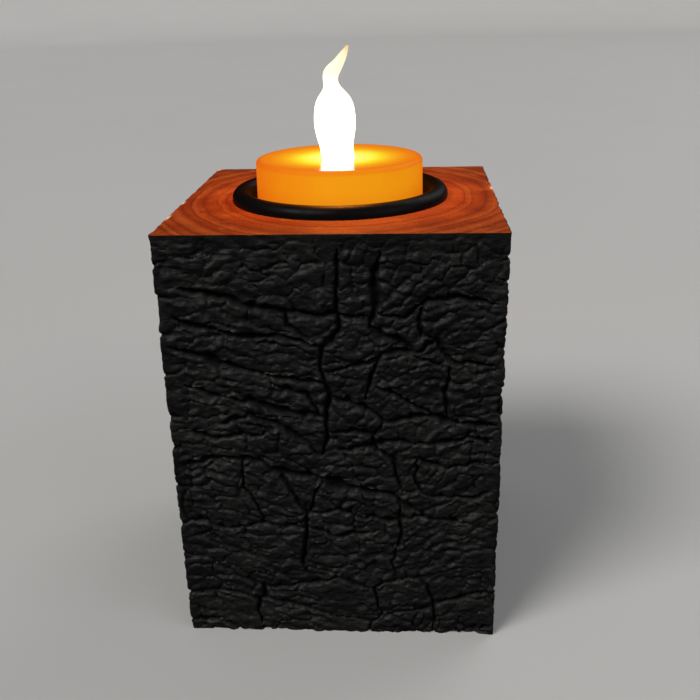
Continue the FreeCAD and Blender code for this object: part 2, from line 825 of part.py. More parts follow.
def check(doc, nodes):
    """Stop if any object failed or any node's shape is empty or invalid."""
    for item in doc.Objects:
        if "Invalid" in item.State or "Error" in item.State:
            raise RuntimeError("%s failed: %s" % (item.Label, item.State))
    for node in nodes:
        if node.Shape.isNull() or not node.Shape.isValid():
            raise RuntimeError("%s has no valid shape" % node.Label)
        solids = len(node.Shape.Solids)
        print("%-18s %d solid(s) %10.2f mm3" % (node.Label, solids, node.Shape.Volume))


def main():
    doc = FreeCAD.newDocument("tealight_holder")
    d = Sheet(doc, SIZES)
    pieces = [
        wood_block(doc, d),
        candle_cup(doc, d),
        candle_shell(doc, d),
        flame_tip(doc, d),
        led_lamp(doc, d),
        candle_base(doc, d),
        battery_door(doc, d),
        switch_slider(doc, d),
    ]
    pieces += lamp_leads(doc, d)
    pieces += coin_cell(doc, d)
    pieces += contact_strips(doc, d)
    screws = base_screws(doc, d)
    doc.recompute()
    nodes = [piece.body for piece in pieces] + [screws]
    check(doc, nodes)
    os.makedirs("parts", exist_ok=True)
    for node in nodes:
        node.Shape.exportStep("parts/%s.step" % node.Label)


main()
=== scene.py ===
"""Tealight holder: the looks of the charred block, the black cup and the lit battery tealight.

Everything is in metres in the frame's own axes: +Z up, the front faces -Y. Relief is worked out in
millimetres, because that is the scale of the char, and turned into metres where a mesh is made.
"""
import itertools
import math

import bpy
import numpy as np
from mathutils import Matrix, Vector


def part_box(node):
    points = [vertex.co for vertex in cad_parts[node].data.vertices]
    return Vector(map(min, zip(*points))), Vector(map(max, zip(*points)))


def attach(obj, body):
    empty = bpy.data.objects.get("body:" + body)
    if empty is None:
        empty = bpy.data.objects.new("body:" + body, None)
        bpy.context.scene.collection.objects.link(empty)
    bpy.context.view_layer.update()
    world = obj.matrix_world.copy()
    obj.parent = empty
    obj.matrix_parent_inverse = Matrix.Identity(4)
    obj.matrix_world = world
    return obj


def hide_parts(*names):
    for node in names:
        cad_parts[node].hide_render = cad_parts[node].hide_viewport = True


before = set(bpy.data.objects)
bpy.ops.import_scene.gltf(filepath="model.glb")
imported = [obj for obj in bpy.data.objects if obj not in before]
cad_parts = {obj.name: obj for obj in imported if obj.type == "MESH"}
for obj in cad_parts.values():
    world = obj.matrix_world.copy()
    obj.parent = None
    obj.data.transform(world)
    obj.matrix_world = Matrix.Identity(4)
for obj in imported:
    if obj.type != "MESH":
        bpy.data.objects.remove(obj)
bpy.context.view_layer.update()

MM = 0.001

BLOCK_LOW, BLOCK_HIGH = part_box("wood_block")
SHELL_LOW, SHELL_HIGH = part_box("candle_shell")
FLAME_LOW, FLAME_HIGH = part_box("flame_tip")

BLOCK_WIDTH = BLOCK_HIGH.x - BLOCK_LOW.x
BLOCK_HEIGHT = BLOCK_HIGH.z
WIDTH_MM = BLOCK_WIDTH / MM
HEIGHT_MM = BLOCK_HEIGHT / MM

# The charred skin, in millimetres: its round corners, the way across one side and all round, the
# step of its relief, its thickness, how far its outside ends under the sawn top, and how far its
# back stops short above and below.
CORNER_MM = 0.6
SIDE_MM = WIDTH_MM - 2 * CORNER_MM
FACE_MM = SIDE_MM + math.pi / 2 * CORNER_MM
AROUND_MM = 4 * FACE_MM
SKIN_STEP_MM = 0.32
SKIN_THICKNESS_MM = 3.4
UNDER_TOP_MM = 0.06
BACK_INSET_MM = 0.9

# How far the wood inside stays behind the block's outline, halfway up and at its foot, and how much
# of that the char's cracks leave at the foot, in millimetres.
CORE_INSET_MM = 3.0
FOOT_INSET_MM = 2.0
FOOT_COVER_MM = 0.4

# The char's plates: how many go round, how tall they are in millimetres, and how far their middles
# stray, as a share of their size.
LARGE_PLATES_AROUND = 16
LARGE_PLATE_HEIGHT_MM = 8.8
SMALL_PLATES_AROUND = 54
SMALL_PLATE_HEIGHT_MM = 3.3
PLATE_STRAY = 0.86

# How far each mark of the char goes in, in millimetres.
SHALLOWEST_MM = 0.03
DEEPEST_MM = 2.5
CRACK_DEPTH_MM = 1.30
FINE_CRACK_DEPTH_MM = 0.55
PLATE_STEP_MM = 0.26
SMALL_PLATE_STEP_MM = 0.18
PLATE_ROUND_MM = 0.30
SMALL_PLATE_ROUND_MM = 0.12
CREASE_DEPTH_MM = 0.34
LUMP_DEPTH_MM = 0.38
TOOTH_DEPTH_MM = 0.12
CHIP_DEPTH_MM = 0.50
WAVE_DEPTH_MM = 0.04
BARE_DEPTH_MM = 0.35

# The size of the creases and lumps across, in depth and up, in millimetres.
CREASE_MM = np.array([4.2, 4.2, 0.85])
LUMP_MM = np.array([2.5, 2.5, 1.35])
SMALL_LUMP_MM = np.array([1.15, 1.15, 0.72])

SIDES = ("front", "right", "back", "left")

# The front's main cracks, in mm: width, then places across from its middle and up from its foot.
FRONT_CRACKS = [
    (1.1, [(-31, 83), (-23, 81), (-14, 79), (-6, 78), (1, 77), (8, 77)]),
    (1.0, [(-32, 77), (-25, 74), (-19, 73), (-12, 73), (-6, 72), (-2, 70)]),
    (1.0, [(-34, 71), (-26, 69), (-20, 66), (-10, 64), (-1, 62)]),
    (1.3, [(-31, 62), (-25, 60), (-18, 58), (-10, 56), (-3, 55)]),
    (1.0, [(-25, 53), (-18, 55), (-12, 53), (-8, 50), (-3, 46)]),
    (1.5, [(-34, 43), (-27, 45), (-18, 45), (-12, 42), (-5, 40), (2, 38), (10, 37), (14, 34), (19, 31)]),
    (1.0, [(2, 91), (1, 84), (1, 78), (2, 74), (-2, 70), (-3, 66), (-1, 60), (-2, 55), (-1, 50), (-3, 46)]),
    (1.6, [(10, 90), (9, 84), (9, 78), (8, 75), (11, 73), (17, 70)]),
    (0.9, [(9, 78), (15, 77), (19, 80), (25, 81), (33, 80)]),
    (1.0, [(-2, 65), (7, 67), (11, 69), (17, 70), (21, 72), (25, 67), (34, 66)]),
    (0.8, [(16, 69), (23, 66)]),
    (0.8, [(10, 68), (8, 64), (7, 59)]),
    (1.1, [(-1, 60), (5, 58), (8, 56), (10, 54), (17, 55), (25, 54), (34, 53)]),
    (0.8, [(9, 62), (14, 59), (19, 56), (25, 54)]),
    (0.8, [(-2, 51), (4, 52), (8, 51), (10, 54)]),
    (0.9, [(1, 47), (5, 48), (10, 49), (17, 49), (27, 50), (34, 49)]),
    (0.9, [(8, 51), (9, 47), (13, 45), (13, 41), (14, 37)]),
    (1.1, [(17, 45), (24, 43), (32, 44)]),
    (0.8, [(18, 44), (17, 40), (19, 37), (25, 36), (34, 37)]),
    (1.0, [(-12, 42), (-10, 36), (-7, 32), (-7, 26), (-8, 20), (-6, 13)]),
    (0.8, [(-3, 40), (-5, 35), (-7, 31)]),
    (0.8, [(-33, 30), (-24, 28), (-15, 29), (-9, 28), (1, 26), (9, 27)]),
    (0.8, [(-20, 45), (-20, 38), (-17, 33), (-16, 29)]),
    (0.8, [(-7, 31), (0, 33), (5, 31), (13, 30), (19, 31), (28, 29)]),
    (0.9, [(14, 34), (14, 26), (12, 19), (14, 11)]),
    (0.7, [(-4, 72), (-9, 76), (-10, 79)]),
    (0.7, [(18, 79), (18, 73), (21, 72)]),
    (0.7, [(-13, 63), (-6, 60), (-3, 55)]),
    (0.7, [(24, 66), (23, 60), (24, 54)]),
    (0.7, [(-31, 51), (-24, 50), (-14, 51)]),
]

# Where those cracks give way to the plates' own, in mm: from the front's middle, and above the foot.
FRONT_FADE_ACROSS_MM = (31, 34.5)
FRONT_FADE_UP_MM = (11, 20)

# Where bare wood shows on the top's edge, in mm: the way round from the front's left corner, and
# the half width.
BARE_SPOTS = [
    (FACE_MM * 3 + 55, 1.8), (FACE_MM * 3 + 0.5, 1.2), (FACE_MM * 1.6, 1.5), (FACE_MM * 3 + 41, 1.2),
]

# The seat bored in the wood, which the cup fills, and the broken edge round it.
SEAT_RADIUS = 21.15 * MM
SEAT_DEPTH = 9.0 * MM
SEAT_EDGE = 0.2 * MM

# The steps of the wood's outline along one side, the rows of points on its top and underside, and
# the radius of the row nearest the middle.
EDGE_STEPS = 180
TOP_ROWS = 22
FOOT_ROWS = 16
INNER_RADIUS = 0.6 * MM

# The wood's growth rings: their width and the place they start from.
RING_WIDTH = 2.7 * MM
PITH = (1.2 * MM, 0.6 * MM, 0.0)

# How far the top of the tealight's case is dished at its middle.
DISH_DEPTH = 0.3 * MM

# The points round the flame and round the floor, and the rings up the flame.
ROUND_STEPS = 96
FLAME_STEPS = 110

# The flame's flange under the case's top, its neck and the bore for the lamp.
FLANGE_RADIUS = 5.2 * MM
FLANGE_HEIGHT = 1.0 * MM
FLANGE_EDGE = 0.1 * MM
NECK_RADIUS = 3.65 * MM
BORE_RADIUS = 2.6 * MM
BORE_STRAIGHT = 6.6 * MM

# The flame's own light: how far over the case's top it sits, its radius, its power and its colour.
FLAME_LIGHT_RISE = 17 * MM
FLAME_LIGHT_RADIUS = 4.5 * MM
FLAME_LIGHT_POWER = 0.105
FLAME_LIGHT_COLOUR = (1.0, 0.29, 0.04)

# The studio's round floor and the sweep at its edge, in metres.
FLOOR_RADIUS = 3.0
SWEEP_RADIUS = 1.2
SWEEP_STEPS = 24

# The studio's lights: where each comes from, its spread in degrees, its strength and its colour.
LIGHTS = {
    "key": ((-0.42, -0.40, 0.62), 26, 2.1, (1.0, 0.985, 0.96)),
    "fill": ((0.75, -0.45, 0.40), 50, 0.70, (0.93, 0.96, 1.0)),
    "back": ((0.62, 0.66, 0.62), 40, 0.60, (1.0, 1.0, 1.0)),
}
SURROUNDINGS_COLOUR = (0.77, 0.775, 0.79, 1)
SURROUNDINGS_STRENGTH = 0.26

# The camera: its place from the middle of the block's top, in block widths, its turn in degrees
# and its lens in mm.
CAMERA_PLACE = (0.216, -2.847, 0.603)
CAMERA_PITCH = 21.85
CAMERA_YAW = 3.95
CAMERA_ROLL = 1.42
CAMERA_LENS = 45.48


# ---------------------------------------------------------------- noise


def lattice(cells, seed):
    """A repeatable random number from 0 to 1 for each row of whole numbers."""
    mixed = np.full(cells.shape[:-1], seed * 668265263 + 374761393, np.int64)
    for axis, prime in zip(range(cells.shape[-1]), (73856093, 19349663, 83492791)):
        mixed = mixed ^ (cells[..., axis] * prime)
        mixed = (mixed ^ (mixed >> 13)) * 1274126177
        mixed = mixed & 0x7FFFFFFFFFFF
    return ((mixed ^ (mixed >> 16)) & 0xFFFFFF) / float(0x1000000)


def noise(points, seed):
    """Smooth noise from -1 to 1 whose cells are one unit wide."""
    base = np.floor(points).astype(np.int64)
    part = points - base
    ease = part * part * part * (part * (part * 6 - 15) + 10)
    total = np.zeros(points.shape[:-1])
    for corner in itertools.product((0, 1), repeat=points.shape[-1]):
        corner = np.array(corner)
        weight = np.prod(np.where(corner == 1, ease, 1 - ease), axis=-1)
        total += weight * lattice(base + corner, seed)
    return total * 2 - 1


def layered_noise(points, seed, layers):
    """Noise with finer layers added, each half as strong as the one before."""
    total = np.zeros(points.shape[:-1])
    for layer in range(layers):
        total += noise(points * 2 ** layer, seed + layer) / 2 ** layer
    return total


def ripple(place, height, width, seed):
    """Smooth noise with a height and a width in mm; each seed gives its own pattern."""
    return height * noise(place / width, seed)


def smooth_step(low, high, value):
    """0 below low, 1 above high and an S-curve between."""
    share = np.clip((value - low) / (high - low), 0, 1)
    return share * share * (3 - 2 * share)


def cracked_plates(across, up, plate_width, plate_height, around, seed):
    """Irregular plates: the distance in mm to the nearest crack, and a random number per plate."""
    spot = np.stack([across / plate_width, up / plate_height], axis=-1)
    home = np.floor(spot).astype(np.int64)
    scale = np.array([plate_width, plate_height])

    def centre(step):
        cell = home + np.array(step)
        named = cell.copy()
        named[..., 0] %= around
        jitter = np.stack([lattice(named, seed), lattice(named, seed + 1)], axis=-1)
        return cell + 0.5 + (jitter - 0.5) * PLATE_STRAY - spot, lattice(named, seed + 2)

    best = np.full(across.shape, np.inf)
    nearest = np.zeros(spot.shape)
    plate = np.zeros(across.shape)
    for step in itertools.product((-1, 0, 1), repeat=2):
        offset, value = centre(step)
        reach = (offset ** 2).sum(-1)
        closer = reach < best
        best = np.where(closer, reach, best)
        nearest = np.where(closer[..., None], offset, nearest)
        plate = np.where(closer, value, plate)
    distance = np.full(across.shape, np.inf)
    for step in itertools.product((-2, -1, 0, 1, 2), repeat=2):
        offset, _ = centre(step)
        away = offset - nearest
        length = np.sqrt((away ** 2).sum(-1))
        other = length > 1e-6
        normal = away / np.where(other, length, 1)[..., None]
        gap = ((nearest + offset) / 2 * normal).sum(-1)
        gap = gap / np.sqrt(((normal / scale) ** 2).sum(-1) + 1e-12)
        distance = np.where(other, np.minimum(distance, gap), distance)
    return distance, plate


# ---------------------------------------------------------------- the charred surface


def skin_path(across):
    """Place and outward direction on one side's level outline, in mm, for the front side.

    across runs from the middle of the left corner's round to the middle of the right one's.
    """
    half_arc = math.pi / 4 * CORNER_MM
    half = WIDTH_MM / 2
    first = np.clip(across, 0, half_arc)
    last = np.clip(across - half_arc - SIDE_MM, 0, half_arc)
    angle = -math.pi * 0.75 + (first + last) / CORNER_MM
    normal = np.stack([np.cos(angle), np.sin(angle)], axis=-1)
    straight = np.clip(across - half_arc, 0, SIDE_MM)
    centre_x = -half + CORNER_MM + straight
    centre_y = np.full_like(across, -half + CORNER_MM)
    return np.stack([centre_x, centre_y], axis=-1) + normal * CORNER_MM, normal


def turned(points, quarter):
    """Points turned about Z by a number of quarter turns."""
    angle = math.pi / 2 * quarter
    turn = np.array([[math.cos(angle), -math.sin(angle)], [math.sin(angle), math.cos(angle)]])
    return points @ turn.T


def crack_lines(across, up):
    """The front's listed cracks: how deep each place lies in one, and the nearest one."""
    crack = np.zeros(across.shape)
    gap = np.full(across.shape, 99.0)
    spot = np.stack([across, up], axis=-1)
    swell = 1 + 0.55 * noise(spot / 4.5, 71) + 0.25 * noise(spot / 1.6, 72)
    for width, corners in FRONT_CRACKS:
        corners = np.array(corners, float)
        lengths = np.sqrt(((corners[1:] - corners[:-1]) ** 2).sum(-1))
        whole = lengths.sum()
        run = 0.0
        for start, end, length in zip(corners[:-1], corners[1:], lengths):
            along = (end - start) / length
            reach = np.clip(((spot - start) * along).sum(-1), 0, length)
            away = np.sqrt(((spot - start - reach[..., None] * along) ** 2).sum(-1))
            from_end = np.minimum(run + reach, whole - run - reach)
            taper = np.clip((from_end + 1.5) / 5, 0, 1)
            half = np.maximum(width * taper * swell / 2, 0.12)
            crack = np.maximum(crack, 1 - smooth_step(0.35, 1.45, away / half))
            gap = np.minimum(gap, away - half * 0.6)
            run += length
    return crack, np.maximum(gap, 0)


def bare_spots(around):
    """How bare the wood is, from 0 to 1, at places around the top edge."""
    bare = np.zeros(np.shape(around))
    for middle, width in BARE_SPOTS:
        away = (around - middle + AROUND_MM / 2) % AROUND_MM - AROUND_MM / 2
        bare = bare + np.exp(-((away / width) ** 2))
    return np.clip(bare, 0, 1)


def front_share(around, up):
    """The way across from the front's middle, and how much a place belongs to the front's cracks."""
    from_middle = (around % AROUND_MM + FACE_MM) % AROUND_MM - FACE_MM * 1.5
    front = 1 - smooth_step(*FRONT_FADE_ACROSS_MM, np.abs(from_middle))
    return from_middle, front * smooth_step(*FRONT_FADE_UP_MM, up)


def shaken(place):
    """Two small restless noises that roughen the edges of the cracks."""
    across = ripple(place, 0.34, 1.7, 15) + ripple(place, 0.20, 0.8, 16)
    up = ripple(place, 0.34, 1.6, 17) + ripple(place, 0.20, 0.8, 18)
    return across, up


def drifting_grid(place, around, up, shake):
    """The way round and up, bent so that the plates' rows wander and tilt towards the corners."""
    swing = 2 * math.pi * around / FACE_MM
    drift_across = ripple(place, 2.6, 13, 11) + ripple(place, 0.9, 4.2, 12)
    drift_up = ripple(place, 2.2, 15, 13) + ripple(place, 0.8, 4.6, 14)
    across = around + drift_across + shake[0] + 4.2 * np.cos(swing)
    return across, up + drift_up + shake[1] - 2.4 * np.cos(swing)


def deep_cracks(place, from_middle, up, grid, shake, front):
    """The cracks between large plates: crack, distance to the nearest, and a number per plate."""
    gap, plate = cracked_plates(
        *grid, AROUND_MM / LARGE_PLATES_AROUND, LARGE_PLATE_HEIGHT_MM, LARGE_PLATES_AROUND, 21
    )
    width = 0.50 + ripple(place, 0.42, 6.5, 19)
    crack = 1 - smooth_step(0.15, 1.0, gap / np.maximum(width, 0.06))
    wobble_across = ripple(place, 0.7, 4.5, 24) + shake[0]
    wobble_up = ripple(place, 0.7, 4.1, 25) + shake[1]
    line_crack, line_gap = crack_lines(from_middle + wobble_across, up + wobble_up)
    crack = line_crack * front + crack * (1 - front)
    gap = line_gap * front + gap * (1 - front)
    height = 0.5 + ripple(place, 0.5, 6.5, 44)
    return crack, gap, plate * (1 - front) + height * front


def fine_cracks(place, grid, shake, front):
    """The cracks between small plates, and how busy a place is with them."""
    gap, plate = cracked_plates(
        grid[0] + shake[1], grid[1] - shake[0], AROUND_MM / SMALL_PLATES_AROUND,
        SMALL_PLATE_HEIGHT_MM, SMALL_PLATES_AROUND, 31
    )
    busy = smooth_step(-0.55, 0.20, noise(place / 11, 20))
    busy = np.maximum(busy, 0.72 * front)
    width = np.maximum(0.34 + ripple(place, 0.36, 3.0, 22), 0.04)
    return (1 - smooth_step(0.1, 1.0, gap / width)) * busy, gap, plate, busy


def edge_wear(place, around, up, at_corner, at_top):
    """Extra depth in mm at the corners, the foot and the bare spots of the top's edge."""
    chips = at_corner * smooth_step(0.30, 0.85, noise(place / 3.2, 43)) * (1 - at_top)
    waves = at_corner * (0.5 + 0.5 * noise(up[..., None] / 11, 45)) * (1 - at_top)
    foot = np.exp(-((up / 1.1) ** 2)) * np.maximum(0.10 + ripple(place, 0.24, 5, 46), 0)
    bare = bare_spots(around) * np.exp(-(((HEIGHT_MM - up) / 1.1) ** 2))
    return CHIP_DEPTH_MM * chips + WAVE_DEPTH_MM * waves + foot + BARE_DEPTH_MM * bare


def char_relief(place, around, up):
    """Depth in mm of the char under its flat envelope, its cracks and a number per plate, raised along the
    cracks' edges by grey ash and painted highlight.
    """
    from_middle, front = front_share(around, up)
    shake = shaken(place)
    grid = drifting_grid(place, around, up, shake)
    crack, gap, plate = deep_cracks(place, from_middle, up, grid, shake, front)
    fine_crack, fine_gap, fine_plate, busy = fine_cracks(place, grid, shake, front)
    slanted = np.concatenate([place[..., :2], grid[1][..., None]], axis=-1)
    creases = np.abs(layered_noise(slanted / CREASE_MM, 41, 2))
    lumps = noise(slanted / LUMP_MM, 47) + 0.6 * noise(slanted / SMALL_LUMP_MM, 48)
    depth = 0.10 + PLATE_STEP_MM * plate + SMALL_PLATE_STEP_MM * fine_plate * busy
    depth += PLATE_ROUND_MM * np.exp(-gap / 0.8) + SMALL_PLATE_ROUND_MM * np.exp(-fine_gap / 0.4) * busy
    depth += CREASE_DEPTH_MM * creases + ripple(place, TOOTH_DEPTH_MM, 0.75, 42) - LUMP_DEPTH_MM * lumps
    depth = np.maximum(depth, 0)
    # The relief dies down towards the corners and the top, so that the block keeps crisp edges.
    to_corner = FACE_MM / 2 - np.abs((around % FACE_MM) - FACE_MM / 2)
    at_corner = np.exp(-((to_corner / 2.0) ** 2))
    at_top = np.exp(-(((HEIGHT_MM - up) / 2.2) ** 2))
    depth = depth * (1 - 0.86 * at_corner) * (1 - 0.80 * at_top)
    calm = (1 - 0.66 * at_corner) * (1 - 0.84 * at_top)
    depth += (CRACK_DEPTH_MM * crack + FINE_CRACK_DEPTH_MM * fine_crack * (1 - crack)) * calm
    depth += edge_wear(place, around, up, at_corner, at_top)
    # At the foot no crack reaches the wood inside.
    at_foot = 1 - smooth_step(0.8, 3.5, up)
    deepest = DEEPEST_MM + (FOOT_INSET_MM - FOOT_COVER_MM - DEEPEST_MM) * at_foot
    # Grey ash and painted highlight along the cracks' edges, added to the plate number.
    ash_and_edge_highlight = np.exp(-gap / 0.5) + 0.6 * np.exp(-fine_gap / 0.3) * busy
    depth = np.clip(depth, SHALLOWEST_MM, deepest)
    return depth, np.clip(crack + 0.6 * fine_crack, 0, 1), plate + 0.9 * ash_and_edge_highlight


def skin_places(quarter, across, up):
    """The flat envelope's places and outward directions for one side, and the distance around."""
    flat, normal = skin_path(across)
    flat = turned(flat, quarter)
    normal = turned(normal, quarter)
    place = np.concatenate([flat, up[..., None]], axis=-1)
    return place, normal, across + quarter * FACE_MM


def mesh_object(name, points, faces):
    """A new smooth object from points in metres and faces."""
    data = bpy.data.meshes.new(name)
    data.from_pydata(points, [], faces)
    data.validate()
    data.update()
    data.polygons.foreach_set("use_smooth", [True] * len(data.polygons))
    made = bpy.data.objects.new(name, data)
    bpy.context.scene.collection.objects.link(made)
    return made


def mark_sharp(made, degrees):
    """Keep edges sharper than an angle crisp and the rest smooth."""
    made.data.set_sharp_from_angle(angle=math.radians(degrees))


def ring_faces(inner, outer, count):
    """Faces that join two closed rows of points."""
    faces = []
    for spot in range(count):
        following = (spot + 1) % count
        faces.append((inner + spot, outer + spot, outer + following, inner + following))
    return faces


def fan_faces(row, centre, count):
    """Faces from a closed row of points to one in the middle, facing up if it runs anticlockwise."""
    return [(centre, row + spot, row + (spot + 1) % count) for spot in range(count)]


def add_ring(points, middle, half_width, half_depth, height):
    """Add one level ring of points and give the number of its first one."""
    first = len(points)
    for spot in range(ROUND_STEPS):
        angle = 2 * math.pi * spot / ROUND_STEPS
        points.append((middle + half_width * math.cos(angle), half_depth * math.sin(angle), height))
    return first


def point_values(made, name, values):
    """Keep one number per point for the material to read."""
    attribute = made.data.attributes.new(name, "FLOAT", "POINT")
    attribute.data.foreach_set("value", np.asarray(values, np.float32))


def charred_side(quarter):
    """One charred side: a relief outside, closed behind by a flat back inside the wood."""
    columns = int(round(FACE_MM / SKIN_STEP_MM))
    rows = int(round(HEIGHT_MM / SKIN_STEP_MM))
    across, up = np.meshgrid(np.linspace(0, FACE_MM, columns + 1), np.linspace(0, HEIGHT_MM, rows + 1))
    place, normal, around = skin_places(quarter, across, up)
    depth, crack, plate = char_relief(place, around, up)
    outer = place.copy()
    outer[..., :2] -= normal * depth[..., None]
    outer[-1, :, 2] -= UNDER_TOP_MM
    behind = place[[-1, 0]].copy()
    behind[..., :2] -= normal[[-1, 0]] * SKIN_THICKNESS_MM
    behind[0, :, 2] -= BACK_INSET_MM
    behind[1, :, 2] += BACK_INSET_MM
    points = np.concatenate([outer, behind], axis=0)
    levels = points.shape[0]
    width = columns + 1
    faces = []
    for level in range(levels):
        above = (level + 1) % levels
        for column in range(columns):
            faces.append((
                level * width + column, level * width + column + 1,
                above * width + column + 1, above * width + column,
            ))
    faces.append([level * width for level in range(levels)])
    faces.append([level * width + columns for level in reversed(range(levels))])
    made = mesh_object("char_" + SIDES[quarter], points.reshape(-1, 3) * MM, faces)
    mark_sharp(made, 80)
    hidden = np.ones(behind.shape[:2])
    # The crack number also darkens the cracks' colour as painted shade.
    point_values(made, "crack", np.concatenate([crack, hidden]).ravel())
    # The plate number also carries the grey ash and painted highlight along the cracks.
    point_values(made, "plate", np.concatenate([plate, hidden * 0]).ravel())
    return made


def wood_outline(up, inset=None):
    """The wood's edge at one height, in mm, and how bare it is, all round.

    With no inset it follows the char's relief, and otherwise it is the block's outline made smaller.
    """
    points = []
    bare = []
    for quarter in range(4):
        across = np.linspace(0, FACE_MM, EDGE_STEPS, endpoint=False)
        place, normal, around = skin_places(quarter, across, np.full_like(across, up))
        spots = bare_spots(around)
        if inset is None:
            depth, _, _ = char_relief(place, around, place[..., 2])
            rough = ripple(place, 0.10, 2.2, 51) + ripple(place, 0.06, 0.8, 52)
            edge = np.clip(0.14 + 0.55 * depth + rough, 0.12, 0.8) * (1 - 0.75 * spots)
            points.append(place[..., :2] - normal * edge[..., None])
        else:
            points.append(place[..., :2] * (1 - inset * 2 / WIDTH_MM))
        bare.append(spots)
    return np.concatenate(points), np.concatenate(bare)


def wood_core():
    """The uncharred wood: sawn end grain above and below, and the seat bored in the top."""
    edge, bare = wood_outline(HEIGHT_MM)
    edge = edge * MM
    inner_wall = wood_outline(HEIGHT_MM / 2, CORE_INSET_MM)[0] * MM
    lower_edge = wood_outline(0.0, FOOT_INSET_MM)[0] * MM
    total = len(edge)
    angle = np.arctan2(edge[:, 1], edge[:, 0])
    direction = np.stack([np.cos(angle), np.sin(angle)], axis=-1)
    innermost = direction * INNER_RADIUS
    seat_edge = direction * SEAT_RADIUS
    seat_floor = BLOCK_HEIGHT - SEAT_DEPTH
    lip = seat_edge + direction * SEAT_EDGE
    rows = []
    pale = []

    def row(flat, height, bareness=0.0):
        rows.append(np.concatenate([flat, np.full((total, 1), height)], axis=-1))
        pale.append(bare * bareness)

    # The rows run from the seat's floor over the top, down behind the char and in under the foot.
    row(innermost, seat_floor)
    row(seat_edge, seat_floor)
    row(seat_edge, BLOCK_HEIGHT - 0.25 * MM)
    first_top = len(rows)
    for share in np.linspace(0, 0.95, TOP_ROWS):
        row(lip + (edge - lip) * share, BLOCK_HEIGHT)
    row(lip + (edge - lip) * 0.97, BLOCK_HEIGHT, 0.3)
    row(lip + (edge - lip) * 0.985, BLOCK_HEIGHT, 1.0)
    last_top = len(rows)
    row(edge, BLOCK_HEIGHT - 0.05 * MM, 1.0)
    row(edge - direction * 0.1 * MM, BLOCK_HEIGHT - 0.45 * MM, 1.0)
    row(inner_wall, BLOCK_HEIGHT - 1.6 * MM)
    row(inner_wall, 1.6 * MM)
    row(lower_edge, 0.12 * MM)
    for share in np.linspace(0.995, 0, FOOT_ROWS):
        row(innermost + (lower_edge - innermost) * share, 0.0)
    points = np.concatenate(rows)
    roughen(points[first_top * total:last_top * total])
    faces = []
    for level in range(len(rows) - 1):
        faces += ring_faces(level * total, (level + 1) * total, total)
    seat_centre = len(points)
    foot_centre = seat_centre + 1
    faces += fan_faces(0, seat_centre, total)
    faces += [face[::-1] for face in fan_faces(seat_centre - total, foot_centre, total)]
    points = np.concatenate([points, [(0, 0, seat_floor), (0, 0, 0)]])
    made = mesh_object("wood_core", points, faces)
    mark_sharp(made, 40)
    point_values(made, "bare", np.concatenate(pale + [np.zeros(2)]))
    return made


def roughen(top):
    """Saw marks in the wood's top, all below its highest plane."""
    flat_mm = top[:, :2] / MM
    rough = ripple(flat_mm, 0.03, 2.5, 61) + ripple(flat_mm, 0.015, 0.7, 62)
    top[:, 2] += (np.clip(rough, -0.045, 0.045) - 0.045) * MM


# ---------------------------------------------------------------- the flame


# The flame's round sections in mm: height over the case's dish, sway to the right, half width
# and half depth. The curve through them is smooth.
FLAME_SECTIONS = [
    (0.0, -0.22, 3.62, 3.62),
    (1.3, -0.40, 3.62, 3.58),
    (2.9, -0.55, 3.72, 3.68),
    (4.5, -0.66, 4.08, 4.04),
    (6.3, -0.71, 4.44, 4.38),
    (8.2, -0.74, 4.57, 4.52),
    (10.0, -0.75, 4.47, 4.42),
    (11.7, -0.77, 4.16, 4.10),
    (13.3, -0.81, 3.44, 3.45),
    (14.5, -0.89, 2.50, 2.60),
    (15.5, -1.16, 1.84, 1.95),
    (16.5, -1.42, 1.64, 1.68),
    (17.5, -1.42, 1.70, 1.60),
    (18.5, -1.08, 1.86, 1.56),
    (19.6, -0.44, 1.78, 1.42),
    (20.9, 0.62, 1.30, 1.12),
    (22.3, 1.52, 0.86, 0.78),
    (23.35, 2.16, 0.46, 0.46),
]


def curve_through(knots, values, where):
    """Smooth values between knots, as a Catmull-Rom curve."""
    knots = np.asarray(knots, float)
    values = np.asarray(values, float)
    slopes = np.gradient(values, knots)
    place = np.clip(np.searchsorted(knots, where, side="right") - 1, 0, len(knots) - 2)
    length = knots[place + 1] - knots[place]
    share = (where - knots[place]) / length
    square = share * share
    cube = square * share
    return (
        (2 * cube - 3 * square + 1) * values[place]
        + (cube - 2 * square + share) * slopes[place] * length
        + (3 * square - 2 * cube) * values[place + 1]
        + (cube - square) * slopes[place + 1] * length
    )


